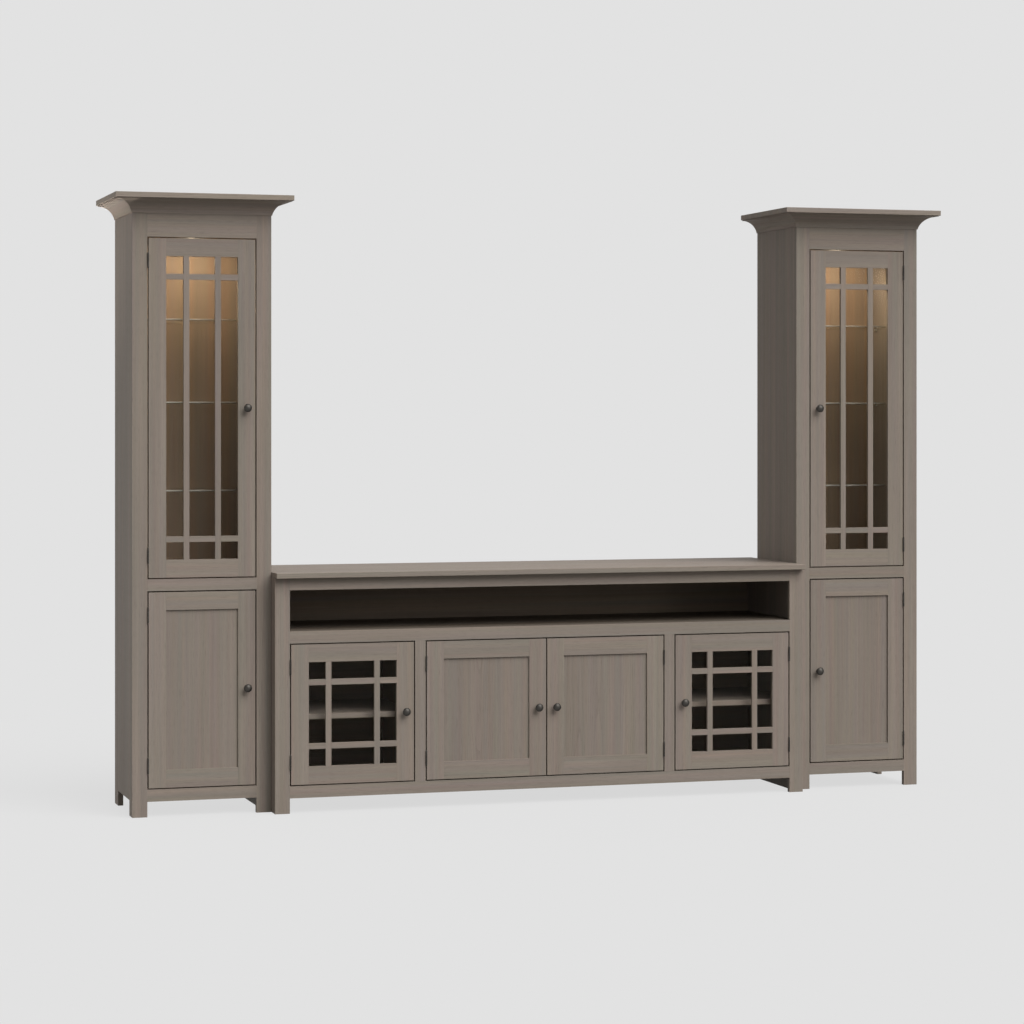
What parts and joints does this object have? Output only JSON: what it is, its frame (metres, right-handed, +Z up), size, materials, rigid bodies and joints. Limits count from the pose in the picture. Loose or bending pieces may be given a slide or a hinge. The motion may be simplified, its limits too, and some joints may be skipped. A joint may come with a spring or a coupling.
{
  "type": "entertainment center",
  "caption": "Oak entertainment center: low console with open media bay and inset doors, between tall lit towers with glazed doors and cove crowns.",
  "frame": {"origin": "on the floor, at the centre of the bounding box", "axes": "+X to the right along the front, +Y to the back, +Z up; the doors face -Y"},
  "size_m": [3.0616, 0.5276, 2.13],
  "materials": {
    "oak_face": "taupe grey-brown stained oak, satin",
    "oak_interior": "taupe grey-brown stained oak, satin",
    "clear_glass": "clear, polished edges",
    "dark_pewter": "dark pewter, satin",
    "lamp_metal": "satin nickel ring round a warm lens"
  },
  "bodies": {
    "root": {"left_tower_outer_side": "oak_face", "left_tower_inner_side": "oak_face", "left_tower_face_frame": "oak_face", "left_tower_crown": "oak_face", "left_tower_bottom_deck": "oak_interior", "left_tower_middle_deck": "oak_interior", "left_tower_top_deck": "oak_interior", "left_tower_back_panel": "oak_interior", "left_tower_glass_shelf_low": "clear_glass", "left_tower_glass_shelf_middle": "clear_glass", "left_tower_glass_shelf_high": "clear_glass", "left_tower_lamp": "lamp_metal", "right_tower_outer_side": "oak_face", "right_tower_inner_side": "oak_face", "right_tower_face_frame": "oak_face", "right_tower_crown": "oak_face", "right_tower_bottom_deck": "oak_interior", "right_tower_middle_deck": "oak_interior", "right_tower_top_deck": "oak_interior", "right_tower_back_panel": "oak_interior", "right_tower_glass_shelf_low": "clear_glass", "right_tower_glass_shelf_middle": "clear_glass", "right_tower_glass_shelf_high": "clear_glass", "right_tower_lamp": "lamp_metal", "console_top": "oak_face", "console_left_side": "oak_face", "console_right_side": "oak_face", "console_face_frame": "oak_face", "console_back_panel": "oak_interior", "console_bottom_deck": "oak_interior", "console_media_shelf": "oak_interior", "console_left_partition": "oak_interior", "console_right_partition": "oak_interior", "console_left_shelf": "oak_interior", "console_centre_shelf": "oak_interior", "console_right_shelf": "oak_interior"},
    "left_tower_upper_door": {"left_tower_upper_door_frame": "oak_face", "left_tower_upper_door_glass": "clear_glass", "left_tower_upper_door_knob": "dark_pewter"},
    "left_tower_lower_door": {"left_tower_lower_door_frame": "oak_face", "left_tower_lower_door_panel": "oak_face", "left_tower_lower_door_knob": "dark_pewter"},
    "right_tower_upper_door": {"right_tower_upper_door_frame": "oak_face", "right_tower_upper_door_glass": "clear_glass", "right_tower_upper_door_knob": "dark_pewter"},
    "right_tower_lower_door": {"right_tower_lower_door_frame": "oak_face", "right_tower_lower_door_panel": "oak_face", "right_tower_lower_door_knob": "dark_pewter"},
    "console_left_glass_door": {"console_left_glass_door_frame": "oak_face", "console_left_glass_door_glass": "clear_glass", "console_left_glass_door_knob": "dark_pewter"},
    "console_centre_left_door": {"console_centre_left_door_frame": "oak_face", "console_centre_left_door_panel": "oak_face", "console_centre_left_door_knob": "dark_pewter"},
    "console_centre_right_door": {"console_centre_right_door_frame": "oak_face", "console_centre_right_door_panel": "oak_face", "console_centre_right_door_knob": "dark_pewter"},
    "console_right_glass_door": {"console_right_glass_door_frame": "oak_face", "console_right_glass_door_glass": "clear_glass", "console_right_glass_door_knob": "dark_pewter"}
  },
  "joints": [
    {"name": "left_tower_upper_door_hinge", "type": "hinge", "parent": "root", "child": "left_tower_upper_door", "pos_m": [-1.4096, -0.1791, 1.3975], "axis": [0, 0, -1], "range_deg": [0, 120]},
    {"name": "left_tower_lower_door_hinge", "type": "hinge", "parent": "root", "child": "left_tower_lower_door", "pos_m": [-1.4096, -0.1791, 0.43265], "axis": [0, 0, -1], "range_deg": [0, 120]},
    {"name": "right_tower_upper_door_hinge", "type": "hinge", "parent": "root", "child": "right_tower_upper_door", "pos_m": [1.4096, -0.1791, 1.3975], "axis": [0, 0, 1], "range_deg": [0, 120]},
    {"name": "right_tower_lower_door_hinge", "type": "hinge", "parent": "root", "child": "right_tower_lower_door", "pos_m": [1.4096, -0.1791, 0.43265], "axis": [0, 0, 1], "range_deg": [0, 120]},
    {"name": "console_left_glass_door_hinge", "type": "hinge", "parent": "root", "child": "console_left_glass_door", "pos_m": [-0.9263, -0.2391, 0.33975], "axis": [0, 0, -1], "range_deg": [0, 120]},
    {"name": "console_centre_left_door_hinge", "type": "hinge", "parent": "root", "child": "console_centre_left_door", "pos_m": [-0.44195, -0.2391, 0.33975], "axis": [0, 0, -1], "range_deg": [0, 120]},
    {"name": "console_centre_right_door_hinge", "type": "hinge", "parent": "root", "child": "console_centre_right_door", "pos_m": [0.44195, -0.2391, 0.33975], "axis": [0, 0, 1], "range_deg": [0, 120]},
    {"name": "console_right_glass_door_hinge", "type": "hinge", "parent": "root", "child": "console_right_glass_door", "pos_m": [0.9263, -0.2391, 0.33975], "axis": [0, 0, 1], "range_deg": [0, 120]}
  ]
}
